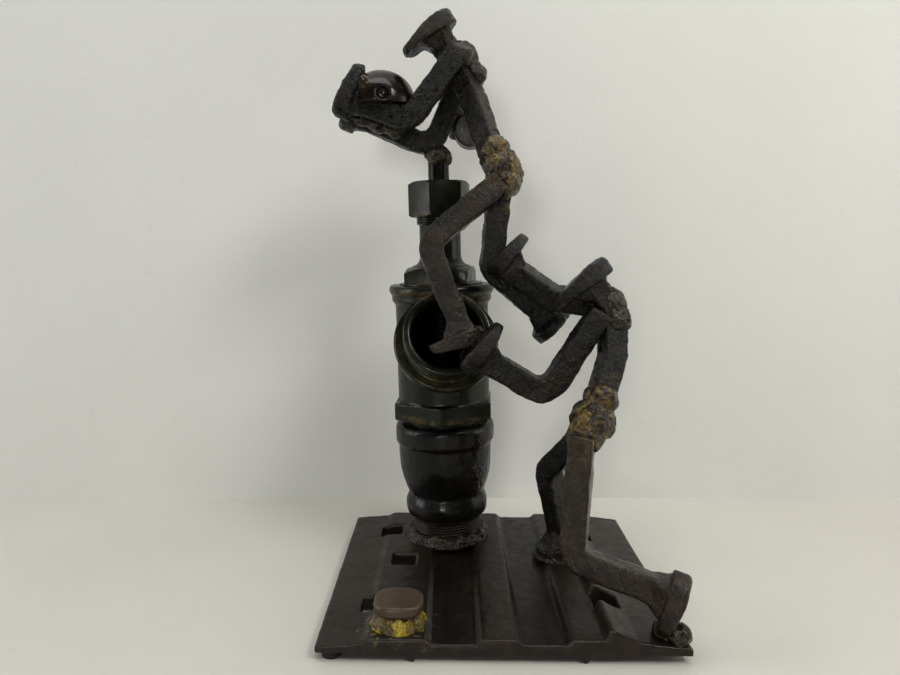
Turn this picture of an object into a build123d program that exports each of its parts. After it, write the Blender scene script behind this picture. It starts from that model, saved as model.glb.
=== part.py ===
from build123d import *
from math import cos, pi, radians, sin, tan
import os

# A welded sculpture: two figures bent from railroad spikes work at a leaning column made of a
# bronze angle hose valve, an iron reducing coupling and a pipe nipple, on a rail tie plate.
# Millimetres, +Z up, -Y is the front. Dimensions are taken from the ground under the plate's centre.
# SET_DOWN then moves the finished sculpture so that the origin is under the middle of all of it.
SET_DOWN = (0.83, -0.40)

# --- tie plate ---
PLATE_WIDTH = 221.0
PLATE_DEPTH = 189.0
GROUND_GAP = 4.0            # underside of the plate above the ground
RIB_HALF = 3.6              # half width of the pointed ribs under the plate
RIB_X = (-53.4, 48.3)
END_LEFT_Z = 9.2            # top of the plate at its thin left end
SEAT_Z = 14.0               # top of the rail seat, which is the plate's main level
FIELD_LEFT_Z = 11.5
STEP_X = (-83.5, -79.0)     # slope up from the left field to the rail seat
CHANNELS = ((-45.9, -12.5), (7.8, 39.8))
CHANNEL_DEPTH = 3.1
CHANNEL_SLOPE = 3.0
RIDGE_FOOT_X = 59.5
RIDGE_Z = 21.5
RIDGE_X = (61.6, 64.2)
RIDGE_TAIL = ((70.0, 17.2), (78.9, 13.3), (90.6, 11.6))
END_RIGHT_Z = 9.5
PLATE_EDGE = 1.0            # rounding of the plate's upper rim
HOLE = (16.5, 18.0)         # square spike holes, along X and Y
HOLE_CENTRES = ((-78.0, 60.0), (-65.0, 8.0), (-79.5, -51.0), (68.0, -50.0), (70.5, 51.0))
PAD_RADIUS = 6.0
PAD_INSET = (9.0, 8.0)      # pads sit under the left end only

# --- polished spike head on the plate ---
BUTTON_CENTRE = (-62.6, -75.0)
BUTTON_SIZE = (30.0, 27.0)
BUTTON_TOP_Z = 29.5
BUTTON_THICK = 8.0
BUTTON_STEM = 15.0

# --- column: heights are measured along its axis from the rail seat ---
COLUMN_FOOT = (-33.6, 56.0, SEAT_Z)
LEAN = 1.87                 # degrees, towards -X
RUNNING = 0.08              # radial clearance of a turning or sliding fit
NIPPLE_RADIUS = 26.7
NIPPLE_BORE = 22.5
NIPPLE_TOP = 29.0
THREAD_DEPTH = 0.8
NIPPLE_PITCH = 2.2
REDUCER_BOTTOM = 18.7
REDUCER_LOW_BAND = 33.6
REDUCER_LOW_RADIUS = 31.6
REDUCER_WAIST = (36.4, 29.2)        # height, radius
REDUCER_SHOULDER = (62.0, 35.4)
REDUCER_HIGH_BAND = (77.1, 38.1)
REDUCER_TOP = 92.8
REDUCER_BORE = 29.0
INLET_THREAD_RADIUS = 30.2
INLET_BOTTOM = 82.0
INLET_BORE = 23.0
HEX_BOTTOM = 96.8
HEX_TOP = 110.0
HEX_FLATS = 72.0
HEX_TURN = 27.0             # degrees, puts a corner nearly at the front
BARREL_RADIUS = 35.0
CHAMBER_RADIUS = 30.0
SEAT_TOP = 126.0
SEAT_BORE = 19.0
RING_BOTTOM = 186.2
RING_RADIUS = 37.5
BEAD_BOTTOM = 191.2
BEAD_TOP = 197.7
BEAD_RADIUS = 39.5
OUTLET_HEIGHT = 140.5       # where the outlet's axis leaves the column's axis
OUTLET_RISE = 26.3          # degrees above horizontal
OUTLET_TURN = 4.5           # degrees from the front towards +X
OUTLET_BARREL = 33.0
OUTLET_FLANGE = (36.0, 43.5, 37.3)  # start, end, radius
OUTLET_GROOVE = (46.5, 29.6)
OUTLET_END = 61.4
OUTLET_THREAD = 31.0
OUTLET_PITCH = 3.3
OUTLET_BORE = 25.0
PLUG_BOTTOM = 184.0
PLUG_COLLAR = (199.0, 31.5)
BONNET_SQUARE = 47.0
BONNET_SQUARE_TURN = 9.0
BONNET_SQUARE_TOP = 211.3
FLARE = (218.8, 27.0)       # height where the neck begins, radius at the square
NECK_RADIUS = 15.5
NECK_TOP = 241.9
BONNET_TOP = 262.0
BONNET_THREAD = 17.5
GLAND_PITCH = 1.8
STUFFING_RADIUS = 12.0
STUFFING_BOTTOM = 246.0
PACKING_TOP = 256.0
GLAND_FLANGE_BOTTOM = 266.2
GLAND_TOP = 269.2
NUT_BOTTOM = 248.0
NUT_TOP = 273.6
NUT_CEILING = 269.3
NUT_FLATS = 40.5
NUT_TURN = 13.0
STEM_RADIUS = 7.8
STEM_TOP = 291.0
HOLDER_RADIUS = 20.5
HOLDER_TOP = 142.0
DISC_THICK = 5.0
DISC_NUT_THICK = 5.0

# --- spikes ---
SHANK = 15.0
BEND = 13.0
HEAD_WIDTH = 29.0
HEAD_SHIFT = 5.5            # how far the head's centre lies towards its lip
HEAD_THICK = 11.5
HEAD_SLOPE = 11.0           # degrees, the crown falls towards the lip
CROWN_ROUND = 3.0
THROAT = 9.0

# Each spike: its joints from the head to the far end, where the head's lip points, the head's length.
SPIKES = {
    "upper_torso": (((-43.5, 41, 387), (-32, 41, 369.5), (-17.5, 35, 341), (0, 18, 289)), (-0.85, 0, -0.54), 43),
    "upper_near_arm": (((-101, 27, 339), (-63, 28, 326), (-29, 30, 374)), (0.35, 0, 0.94), 39),
    "upper_far_arm": (((-101, 51, 333), (-48, 56, 312), (-25, 56, 366)), (0.3, 0, 0.95), 37),
    "upper_near_leg": (((-25, -9, 183), (-49, -1, 242), (0, 7, 284)), (-0.9, 0, -0.42), 38),
    "upper_far_leg": (((36, 27, 190), (-4.5, 22, 224), (0, 22, 277)), (-0.2, -0.96, -0.2), 37),
    "lower_torso": (((60, -12, 216), (73.5, -15, 197), (73, -24, 172), (58, -39, 129)), (-0.81, 0, -0.59), 45),
    "lower_near_arm": (((-11, -20, 168), (31, -18, 142), (65, -20, 199)), (0.51, 0, 0.86), 38),
    "lower_far_arm": (((7, 11, 227), (37, 8, 206), (67, 0, 202)), (0.57, 0, 0.82), 36),
    "lower_near_leg": (((98, -80, 36), (45, -59, 48), (50, -50, 124)), (0.1, 0, -0.99), 41),
    "lower_far_leg": (((52, 19, 25), (39.5, 15, 80), (58, -28, 121)), (-0.95, -0.3, 0), 31),
}

# --- what the upper figure holds ---
DOME_CENTRE = (-83, 38, 337)
DOME_RADIUS = 25.0
DOME_EYE = ((-80, 14, 343), 5.0)
KNOB = ((-96, 21, 350), 6.0)
STUB_START = (-19, 60.5, 326.5)
STUB_RADIUS = 12.5
STUB_LENGTH = 20.0

# --- braze and weld metal: each blob is a group of balls (x, y, z, radius) ---
BRAZE = {
    "upper_shoulder_braze": ((-26, 43, 373, 10.5), (-20, 45, 361, 10.5), (-28, 35, 371, 9.2)),
    "upper_hip_braze": ((-3, 17, 306, 9.6), (1, 14, 294, 12.2), (2, 12, 284, 11.4), (6, 15, 288, 9.8)),
    "upper_hand_braze": ((-96, 39, 334, 9.6), (-74, 41, 326, 9.0), (-100, 38, 342, 8.6), (-85, 40, 330, 9.4)),
    "stub_braze": ((-30, 73, 338, 8.2), (-28, 76, 327, 7.2), (-31, 70, 346, 6.4)),
    "lower_shoulder_braze": ((71, -12, 203, 11.3), (65, -9, 205, 9.8), (75, -17, 193, 10.4)),
    "lower_hip_braze": ((63, -38, 145, 10.4), (58, -40, 132, 13.4), (53, -44, 123, 11.4), (63, -37, 128, 9.8)),
    "outlet_braze": ((-17, -8, 168, 7.7), (-11, -6, 161, 6.6)),
    "grip_braze": ((8, 19, 230, 7.6), (17, 20, 222, 7.2), (26, 19, 213, 7.4)),
    "near_foot_braze": ((104, -86, 12.5, 7.2), (97, -82, 13.4, 6.8), (101, -76, 13.6, 6.2)),
}

# --- rings of weld metal: centre x and y, radii along X and Y, number of lumps ---
WELD_RINGS = {
    "nipple_weld": ((-33.6, 56.0), (27.5, 27.5), 17),
    "far_foot_braze": ((48.5, 18.0), (15.5, 12.5), 11),
    "button_braze": ((-62.6, -75.0), (12.8, 11.3), 11),
}
WELD_LUMPS = (5.6, 4.8, 6.1, 5.2, 5.8)
WELD_SLAB = 3.4             # height of the metal that joins the lumps
STEM_BRAZE = ((-42.6, 55.2, 305, 9.0), (-47, 52, 306.5, 5.4), (-39.2, 53, 306, 5.2))

COLUMN = Location(COLUMN_FOOT, (0, -LEAN, 0))


def revolved(points):
    """Solid of revolution about the column's axis from (radius, height) points."""
    return revolve(Plane.XZ * make_face(Polyline(*points, close=True)), Axis.Z)


def ring_grooves(radius, bottom, top, pitch):
    """V-shaped rings that cut a thread's look into a shaft of this radius."""
    grooves = []
    count = int((top - bottom) / pitch)
    for i in range(count):
        middle = bottom + (i + 0.5) * pitch
        outer = radius + THREAD_DEPTH
        inner = radius - THREAD_DEPTH
        grooves.append(revolved(((outer, middle - pitch / 2), (inner, middle), (outer, middle + pitch / 2))))
    return grooves


def tube(outer, inner, bottom, top):
    """Round tube about the column's axis."""
    return revolved(((inner, bottom), (outer, bottom), (outer, top), (inner, top)))


def post(radius, bottom, top):
    """Round bar about the column's axis."""
    return Pos(0, 0, bottom) * Cylinder(radius, top - bottom, align=(Align.CENTER, Align.CENTER, Align.MIN))


def prism(face, bottom, top):
    """A flat outline raised along the column's axis between two heights."""
    return Pos(0, 0, bottom) * extrude(face, top - bottom)


def biggest(shape):
    """The largest solid of a shape."""
    return max(shape.solids(), key=lambda solid: solid.volume)


def cope(piece, *others):
    """Trim a piece where it meets others, and keep its largest part."""
    for other in others:
        piece = piece - other
    return biggest(piece)


# ---------------------------------------------------------------- base

def plate_profile():
    """Outline of the rolled plate across its width, clockwise from the lower left corner."""
    left = -PLATE_WIDTH / 2
    right = PLATE_WIDTH / 2
    top = [(left, GROUND_GAP + 1), (left, END_LEFT_Z), (STEP_X[0], FIELD_LEFT_Z), (STEP_X[1], SEAT_Z)]
    for start, end in CHANNELS:
        floor = SEAT_Z - CHANNEL_DEPTH
        top += [(start, SEAT_Z), (start + CHANNEL_SLOPE, floor), (end - CHANNEL_SLOPE, floor), (end, SEAT_Z)]
    top += [(RIDGE_FOOT_X, SEAT_Z), (RIDGE_X[0], RIDGE_Z - 1), (RIDGE_X[1], RIDGE_Z - 1)]
    top += list(RIDGE_TAIL) + [(right, END_RIGHT_Z), (right, GROUND_GAP + 1)]
    bottom = []
    for centre in reversed(RIB_X):
        bottom += [(centre + RIB_HALF, GROUND_GAP), (centre + 1, 0), (centre - 1, 0), (centre - RIB_HALF, GROUND_GAP)]
    return top + bottom


def tie_plate():
    outline = make_face(Polyline(*plate_profile(), close=True))
    plate = Pos(0, PLATE_DEPTH / 2, 0) * extrude(Plane.XZ * outline, PLATE_DEPTH)
    holes = [Pos(x, y, SEAT_Z) * Box(HOLE[0], HOLE[1], 4 * SEAT_Z) for x, y in HOLE_CENTRES]
    return biggest(plate - holes)


def plate_feet():
    """Rubber pads that level the plate's thin left end."""
    pads = []
    for end in (-1, 1):
        x = PAD_INSET[0] - PLATE_WIDTH / 2
        y = end * (PLATE_DEPTH / 2 - PAD_INSET[1])
        pads.append(Pos(x, y, GROUND_GAP) * Cylinder(PAD_RADIUS, 2 * GROUND_GAP))
    return Compound(pads)


def polished_spike():
    """A spike's oval head on its cut-off shank, ground smooth."""
    x, y = BUTTON_CENTRE
    outline = RectangleRounded(BUTTON_SIZE[0], BUTTON_SIZE[1], BUTTON_SIZE[1] / 2 - 3)
    head = Pos(x, y, BUTTON_TOP_Z - BUTTON_THICK) * extrude(outline, BUTTON_THICK)
    head = fillet(head.edges().group_by(Axis.Z)[-1], 2.0)
    head = chamfer(head.edges().group_by(Axis.Z)[0], 2.5)
    shank_height = BUTTON_TOP_Z - BUTTON_THICK - SEAT_Z + 1
    shank = Pos(x, y, SEAT_Z + shank_height / 2) * Box(BUTTON_STEM, BUTTON_STEM, shank_height)
    return biggest(head + shank)


# ---------------------------------------------------------------- column

def pipe_nipple():
    nipple = tube(NIPPLE_RADIUS, NIPPLE_BORE, -3, NIPPLE_TOP)
    return nipple - ring_grooves(NIPPLE_RADIUS, 3, REDUCER_BOTTOM - 1, NIPPLE_PITCH)


def reducer_coupling():
    """Banded iron bell reducer: wide at the top, waisted, with a rounded band at each end."""
    low, high, top = REDUCER_LOW_RADIUS, REDUCER_HIGH_BAND[1], REDUCER_TOP
    skin = [(NIPPLE_RADIUS, REDUCER_BOTTOM), (low - 3, REDUCER_BOTTOM), (low - 1.3, REDUCER_BOTTOM + 1.2),
            (low - 0.3, REDUCER_BOTTOM + 4), (low, REDUCER_BOTTOM + 7), (low - 0.2, REDUCER_LOW_BAND - 4),
            (low - 0.9, REDUCER_LOW_BAND - 1.5)]
    waist_height, waist_radius = REDUCER_WAIST
    shoulder_height, shoulder_radius = REDUCER_SHOULDER
    skin.append((waist_radius + 0.7, REDUCER_LOW_BAND + 0.6))
    steps = 8
    for i in range(steps + 1):
        blend = sin(pi / 2 * i / steps)
        height = waist_height + (shoulder_height - waist_height) * i / steps
        skin.append((waist_radius + (shoulder_radius - waist_radius) * blend, height))
    skin += [(shoulder_radius + 0.4, REDUCER_HIGH_BAND[0] - 1), (high - 0.6, REDUCER_HIGH_BAND[0]),
             (high, REDUCER_HIGH_BAND[0] + 2), (high, top - 4), (high - 1.4, top - 1.4), (high - 4, top)]
    bore = [(INLET_THREAD_RADIUS, top), (INLET_THREAD_RADIUS, INLET_BOTTOM), (REDUCER_BORE, INLET_BOTTOM - 2),
            (REDUCER_BORE, shoulder_height), (NIPPLE_BORE, waist_height), (NIPPLE_BORE, NIPPLE_TOP),
            (NIPPLE_RADIUS, NIPPLE_TOP)]
    return revolved(skin + bore)


def outlet_plane():
    """Plane at the start of the outlet's axis, facing along it."""
    turn, rise = radians(OUTLET_TURN), radians(OUTLET_RISE)
    direction = (sin(turn) * cos(rise), -cos(turn) * cos(rise), sin(rise))
    return Plane(origin=(0, 0, OUTLET_HEIGHT), x_dir=(cos(turn), sin(turn), 0), z_dir=direction)


def outlet_skin():
    """Outside of the oblique outlet: barrel, round flange, groove and hose thread."""
    start, end, flange = OUTLET_FLANGE
    groove_end, groove = OUTLET_GROOVE
    thread = OUTLET_THREAD
    points = [(0, 0), (OUTLET_BARREL - 6, 0), (OUTLET_BARREL, 30), (OUTLET_BARREL + 1, start), (flange - 1.2, start),
              (flange, start + 1.6), (flange, end - 1.6), (flange - 1.2, end), (groove, end), (groove, groove_end)]
    height = groove_end
    while height + OUTLET_PITCH < OUTLET_END - 1:
        crest = OUTLET_PITCH * 0.2
        points += [(thread, height + 2 * crest), (thread, height + 3 * crest), (thread - 1.3, height + 5 * crest)]
        height += OUTLET_PITCH
    points += [(thread, height + 1), (thread, OUTLET_END - 1.2), (thread - 1.2, OUTLET_END), (0, OUTLET_END)]
    return revolved(points)


def valve_body():
    """Bronze body: threaded inlet, hexagon, barrel, bonnet ring and the oblique outlet."""
    skin = post(INLET_THREAD_RADIUS, INLET_BOTTOM, HEX_BOTTOM)
    for groove in ring_grooves(INLET_THREAD_RADIUS, REDUCER_TOP, HEX_BOTTOM, 2.0):
        skin -= groove
    hexagon = prism(Rot(0, 0, HEX_TURN) * RegularPolygon(HEX_FLATS / 2, 6, major_radius=False), HEX_BOTTOM, HEX_TOP)
    cone = revolved(((0, HEX_BOTTOM), (HEX_FLATS / 2 + 4, HEX_BOTTOM), (HEX_FLATS / 2 + 6, HEX_BOTTOM + 2),
                     (HEX_FLATS / 2 + 6, HEX_TOP), (0, HEX_TOP)))
    skin += hexagon & cone
    skin += revolved(((0, HEX_TOP), (BARREL_RADIUS, HEX_TOP), (BARREL_RADIUS, RING_BOTTOM - 3),
                      (RING_RADIUS, RING_BOTTOM), (RING_RADIUS, BEAD_BOTTOM), (BEAD_RADIUS - 1.2, BEAD_BOTTOM),
                      (BEAD_RADIUS, BEAD_BOTTOM + 2), (BEAD_RADIUS, BEAD_TOP - 2), (BEAD_RADIUS - 1.2, BEAD_TOP),
                      (0, BEAD_TOP)))
    frame = outlet_plane().location
    skin += frame * outlet_skin()
    body = skin - post(INLET_BORE, INLET_BOTTOM, SEAT_TOP) - post(CHAMBER_RADIUS, SEAT_TOP, BEAD_TOP)
    mouth = revolved(((0, 0), (OUTLET_BORE, 0), (OUTLET_BORE, OUTLET_END - 1.5), (OUTLET_BORE + 1.5, OUTLET_END),
                      (0, OUTLET_END)))
    return biggest(body - frame * mouth)


def seat_ring():
    """Renewable bronze seat pressed into the body's bridge."""
    return revolved(((SEAT_BORE, SEAT_TOP - 8), (INLET_BORE, SEAT_TOP - 8), (INLET_BORE, SEAT_TOP),
                     (SEAT_BORE + 2, SEAT_TOP), (SEAT_BORE, SEAT_TOP - 2)))


def seat_disc():
    return tube(HOLDER_RADIUS, 5, SEAT_TOP, SEAT_TOP + DISC_THICK)


def disc_holder():
    """Cup that carries the rubber disc on the stem's end, with the stud for its nut."""
    floor = SEAT_TOP + DISC_THICK
    return revolved(((0, SEAT_TOP - DISC_NUT_THICK), (5, SEAT_TOP - DISC_NUT_THICK), (5, floor),
                     (HOLDER_RADIUS, floor), (HOLDER_RADIUS, floor + 3), (12, HOLDER_TOP), (STEM_RADIUS, HOLDER_TOP),
                     (STEM_RADIUS, HOLDER_TOP - 6), (0, HOLDER_TOP - 6)))


def disc_nut():
    """Hexagon nut that clamps the rubber disc."""
    nut = prism(RegularPolygon(9, 6, major_radius=False), SEAT_TOP - DISC_NUT_THICK, SEAT_TOP)
    return nut - post(5, SEAT_TOP - DISC_NUT_THICK, SEAT_TOP)


def stem():
    bar = post(STEM_RADIUS, HOLDER_TOP - 6, STEM_TOP)
    return bar - ring_grooves(STEM_RADIUS, HOLDER_TOP + 4, PLUG_BOTTOM + 20, 4.0)


def bonnet():
    """Screwed bonnet: plug, collar, square for the wrench, flared neck and gland thread."""
    flare_height, flare_radius = FLARE
    collar_top, collar_radius = PLUG_COLLAR
    outline = [(STEM_RADIUS + RUNNING, PLUG_BOTTOM), (CHAMBER_RADIUS, PLUG_BOTTOM), (CHAMBER_RADIUS, BEAD_TOP),
               (collar_radius, BEAD_TOP), (collar_radius, collar_top), (flare_radius - 5, collar_top),
               (flare_radius - 5, BONNET_SQUARE_TOP), (flare_radius - 5.5, BONNET_SQUARE_TOP + 0.5)]
    steps = 6
    for i in range(1, steps + 1):
        angle = pi / 2 * i / steps
        radius = NECK_RADIUS + (flare_radius - 6 - NECK_RADIUS) * (1 - sin(angle))
        outline.append((radius, BONNET_SQUARE_TOP + (flare_height - BONNET_SQUARE_TOP) * (1 - cos(angle)) + 0.8))
    outline += [(NECK_RADIUS, NECK_TOP), (BONNET_THREAD, NECK_TOP + 1), (BONNET_THREAD, BONNET_TOP - 1),
                (BONNET_THREAD - 1, BONNET_TOP), (STUFFING_RADIUS, BONNET_TOP), (STUFFING_RADIUS, STUFFING_BOTTOM),
                (STEM_RADIUS + RUNNING, STUFFING_BOTTOM - 2)]
    body = revolved(outline)
    square = prism(Rot(0, 0, -BONNET_SQUARE_TURN) * Rectangle(BONNET_SQUARE, BONNET_SQUARE), collar_top,
                   BONNET_SQUARE_TOP)
    cap = revolved(((0, collar_top), (BONNET_SQUARE, collar_top), (BONNET_SQUARE / 2 + 3, BONNET_SQUARE_TOP - 1),
                    (BONNET_SQUARE / 2 - 3, BONNET_SQUARE_TOP), (0, BONNET_SQUARE_TOP)))
    body += (square & cap) - post(STEM_RADIUS + RUNNING, collar_top, BONNET_SQUARE_TOP)
    return biggest(body - ring_grooves(BONNET_THREAD, NECK_TOP + 1, BONNET_TOP - 1, GLAND_PITCH))


def gland_packing():
    return tube(STUFFING_RADIUS, STEM_RADIUS + RUNNING, STUFFING_BOTTOM + 0.5, PACKING_TOP)


def gland_follower():
    """Bronze bush with a flange, which the packing nut presses on the packing."""
    bore = STEM_RADIUS + RUNNING
    sleeve = STUFFING_RADIUS - RUNNING
    return revolved(((bore, PACKING_TOP + 0.1), (sleeve, PACKING_TOP + 0.1), (sleeve, GLAND_FLANGE_BOTTOM),
                     (BONNET_THREAD - 1, GLAND_FLANGE_BOTTOM), (BONNET_THREAD - 1, GLAND_TOP), (bore, GLAND_TOP)))


def packing_nut():
    """Hexagon cap nut round the stem, chamfered at both ends."""
    corner = NUT_FLATS / 2 / cos(pi / 6)
    hexagon = prism(Rot(0, 0, NUT_TURN) * RegularPolygon(NUT_FLATS / 2, 6, major_radius=False), NUT_BOTTOM, NUT_TOP)
    cap = revolved(((0, NUT_BOTTOM), (corner - 2, NUT_BOTTOM), (corner, NUT_BOTTOM + 1.2), (corner, NUT_TOP - 2),
                    (corner - 3, NUT_TOP), (0, NUT_TOP)))
    bore = BONNET_THREAD + RUNNING
    hollow = revolved(((0, NUT_BOTTOM), (bore + 0.8, NUT_BOTTOM), (bore, NUT_BOTTOM + 0.8), (bore, NUT_CEILING),
                       (STEM_RADIUS + RUNNING, NUT_CEILING), (STEM_RADIUS + RUNNING, NUT_TOP), (0, NUT_TOP)))
    return biggest((hexagon & cap) - hollow)


def weld_ring(centre, radii, count):
    """Lumpy ring of weld metal on the plate, round something that stands there."""
    slab = Ellipse(radii[0] + WELD_LUMPS[1] / 2, radii[1] + WELD_LUMPS[1] / 2)
    ring = Pos(centre[0], centre[1], SEAT_Z) * extrude(slab, WELD_SLAB)
    for i in range(count):
        angle = 2 * pi * i / count
        x = centre[0] + radii[0] * cos(angle)
        y = centre[1] + radii[1] * sin(angle)
        ring += Pos(x, y, SEAT_Z + 0.5) * Sphere(WELD_LUMPS[i % len(WELD_LUMPS)])
    return ring


# ---------------------------------------------------------------- figures

def spike_head(length):
    """A spike's head: oval, longer towards +X, with a crown that slopes down to that lip."""
    outline = Pos(HEAD_SHIFT, 0) * Ellipse(length / 2, HEAD_WIDTH / 2)
    block = extrude(outline, HEAD_THICK)
    drop = tan(radians(HEAD_SLOPE)) * length / 2
    crown = Pos(HEAD_SHIFT, 0, HEAD_THICK - drop / 2 + HEAD_THICK / 2) * Rot(0, HEAD_SLOPE, 0)
    block -= crown * Box(3 * length, 2 * HEAD_WIDTH, HEAD_THICK)
    block = fillet(block.edges().group_by(Axis.Z)[-1], CROWN_ROUND)
    throat = loft([Pos(0, 0, -THROAT) * Rectangle(SHANK, SHANK), Pos(2, 0, 0) * Rectangle(SHANK + 7, SHANK + 5)])
    return block + throat


def spike(joints, lip, head_length):
    """A bent spike: a square bar along its joints, with the head before the first one."""
    points = [Vector(*joint) for joint in joints]
    first = (points[1] - points[0]).normalized()
    bend = first.cross(points[2] - points[1]).normalized()
    path = FilletPolyline(*points, radius=BEND)
    section = Plane(origin=points[0], x_dir=bend, z_dir=first) * Rectangle(SHANK, SHANK)
    shank = sweep(section, path=path)
    toe = Vector(*lip)
    toe = (toe - first * toe.dot(first)).normalized()
    head = Plane(origin=points[0], x_dir=toe, z_dir=first * -1).location * spike_head(head_length)
    return biggest(shank + head)


def held_dome():
    """Smooth domed cap that the upper figure's hands hold, with a knob and a small round eye."""
    ball = Pos(*DOME_CENTRE) * Sphere(DOME_RADIUS)
    floor = Pos(DOME_CENTRE[0], DOME_CENTRE[1], DOME_CENTRE[2] - DOME_RADIUS) * Box(
        3 * DOME_RADIUS, 3 * DOME_RADIUS, 2 * DOME_RADIUS)
    dome = ball - floor
    dome += Pos(*KNOB[0]) * Sphere(KNOB[1])
    return dome - Pos(*DOME_EYE[0]) * Sphere(DOME_EYE[1])


def back_stub():
    """Short round bar behind the torso, its sawn face to the front."""
    bar = extrude(Plane(origin=STUB_START, z_dir=(0, 1, 0)) * Circle(STUB_RADIUS), STUB_LENGTH)
    return chamfer(bar.edges(), 0.8)


def blob(balls):
    """Braze metal: overlapping balls run together."""
    lump = None
    for x, y, z, radius in balls:
        ball = Pos(x, y, z) * Sphere(radius)
        lump = ball if lump is None else lump + ball
    return lump


# ---------------------------------------------------------------- assembly

def column_nodes():
    """Pieces of the column, made upright and set down with the column's lean."""
    makers = (pipe_nipple, reducer_coupling, valve_body, seat_ring, seat_disc, disc_holder, disc_nut, stem,
              bonnet, gland_packing, gland_follower, packing_nut)
    return {maker.__name__: COLUMN * maker() for maker in makers}


def assemble():
    """Every node by name, each trimmed so that no two pieces share metal."""
    nodes = {"tie_plate": tie_plate(), "plate_feet": plate_feet(), "polished_spike": polished_spike()}
    nodes.update(column_nodes())
    plate = nodes["tie_plate"]
    nodes["plate_feet"] -= plate
    nodes["pipe_nipple"] = cope(nodes["pipe_nipple"], plate)
    for name, (joints, lip, head_length) in SPIKES.items():
        nodes[name] = spike(joints, lip, head_length)
    nodes["back_stub"] = back_stub()
    nodes["held_dome"] = held_dome()

    trims = (
        ("upper_near_arm", ("upper_torso",)),
        ("upper_far_arm", ("upper_torso", "upper_near_arm", "stem")),
        ("upper_near_leg", ("upper_torso", "valve_body", "bonnet")),
        ("upper_far_leg", ("upper_torso", "upper_near_leg", "valve_body", "bonnet")),
        ("lower_near_arm", ("lower_torso", "valve_body", "upper_near_leg")),
        ("lower_far_arm", ("lower_torso", "lower_near_arm", "upper_far_leg", "upper_near_leg")),
        ("lower_near_leg", ("lower_torso", "tie_plate")),
        ("lower_far_leg", ("lower_torso", "lower_near_leg", "tie_plate")),
        ("held_dome", ("upper_near_arm", "upper_far_arm")),
        ("back_stub", ("upper_far_arm", "upper_torso")),
    )
    for name, cutters in trims:
        nodes[name] = cope(nodes[name], *(nodes[cutter] for cutter in cutters))

    metal = {
        "upper_shoulder_braze": ("upper_torso", "upper_near_arm", "upper_far_arm"),
        "upper_hip_braze": ("upper_torso", "upper_near_leg", "upper_far_leg"),
        "upper_hand_braze": ("upper_near_arm", "upper_far_arm", "held_dome"),
        "stub_braze": ("upper_torso", "upper_far_arm", "back_stub"),
        "lower_shoulder_braze": ("lower_torso", "lower_near_arm", "lower_far_arm"),
        "lower_hip_braze": ("lower_torso", "lower_near_leg", "lower_far_leg"),
        "grip_braze": ("upper_far_leg", "lower_far_arm"),
        "near_foot_braze": ("tie_plate", "lower_near_leg"),
    }
    for name, cutters in metal.items():
        nodes[name] = cope(blob(BRAZE[name]), *(nodes[cutter] for cutter in cutters))
    rim = COLUMN * outlet_plane().location * tube(OUTLET_THREAD, OUTLET_BORE, 0, OUTLET_END)
    nodes["outlet_braze"] = cope(blob(BRAZE["outlet_braze"]), rim, nodes["upper_near_leg"], nodes["lower_near_arm"])
    around = {"nipple_weld": "pipe_nipple", "far_foot_braze": "lower_far_leg", "button_braze": "polished_spike"}
    hollow = COLUMN * post(NIPPLE_BORE + 1, 0, WELD_SLAB * 2)
    for name, standing in around.items():
        nodes[name] = cope(weld_ring(*WELD_RINGS[name]), plate, nodes[standing], hollow)
    nodes["stem_braze"] = cope(blob(STEM_BRAZE), nodes["stem"], nodes["upper_far_arm"], nodes["upper_near_arm"])
    return nodes


os.makedirs("parts", exist_ok=True)
for node, shape in assemble().items():
    export_step(Pos(*SET_DOWN) * shape, f"parts/{node}.step")
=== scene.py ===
import math

import bmesh
import bpy
import numpy as np
from mathutils import Matrix, Vector, noise


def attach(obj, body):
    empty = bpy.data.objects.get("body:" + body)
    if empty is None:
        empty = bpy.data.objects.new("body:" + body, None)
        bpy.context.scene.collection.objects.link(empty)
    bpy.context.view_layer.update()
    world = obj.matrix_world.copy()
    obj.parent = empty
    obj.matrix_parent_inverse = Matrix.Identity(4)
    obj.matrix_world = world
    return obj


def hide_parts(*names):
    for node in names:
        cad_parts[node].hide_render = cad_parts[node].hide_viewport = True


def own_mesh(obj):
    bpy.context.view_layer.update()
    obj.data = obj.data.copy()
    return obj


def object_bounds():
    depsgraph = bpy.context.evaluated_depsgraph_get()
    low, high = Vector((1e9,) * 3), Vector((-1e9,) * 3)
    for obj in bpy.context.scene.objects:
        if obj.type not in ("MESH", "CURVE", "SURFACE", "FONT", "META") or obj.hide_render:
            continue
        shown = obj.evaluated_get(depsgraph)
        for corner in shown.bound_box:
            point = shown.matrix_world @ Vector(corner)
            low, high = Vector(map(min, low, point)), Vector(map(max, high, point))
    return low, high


# Looks of the welded spike sculpture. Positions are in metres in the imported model's own frame, unless a
# helper says that it takes mm. Forged, cast, rolled and brazed pieces are remeshed copies of their CAD
# solids, rounded and then roughened. Turned pieces are copies with fine bevels, and the welds that stand
# round something on the plate are built here.

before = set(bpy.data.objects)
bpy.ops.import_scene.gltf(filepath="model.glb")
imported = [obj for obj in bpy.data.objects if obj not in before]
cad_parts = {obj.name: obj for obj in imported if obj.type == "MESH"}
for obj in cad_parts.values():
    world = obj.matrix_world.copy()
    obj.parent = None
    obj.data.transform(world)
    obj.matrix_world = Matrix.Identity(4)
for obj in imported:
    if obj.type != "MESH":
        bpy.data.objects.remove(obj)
cad_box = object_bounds()
scene = bpy.context.scene

BASE = "base"
NUT = "nut"
MM = 0.001
WELD_DISTANCE = 2e-6  # corners of CAD faces closer than this are one point


# ---------------------------------------------------------------- meshes

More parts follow.
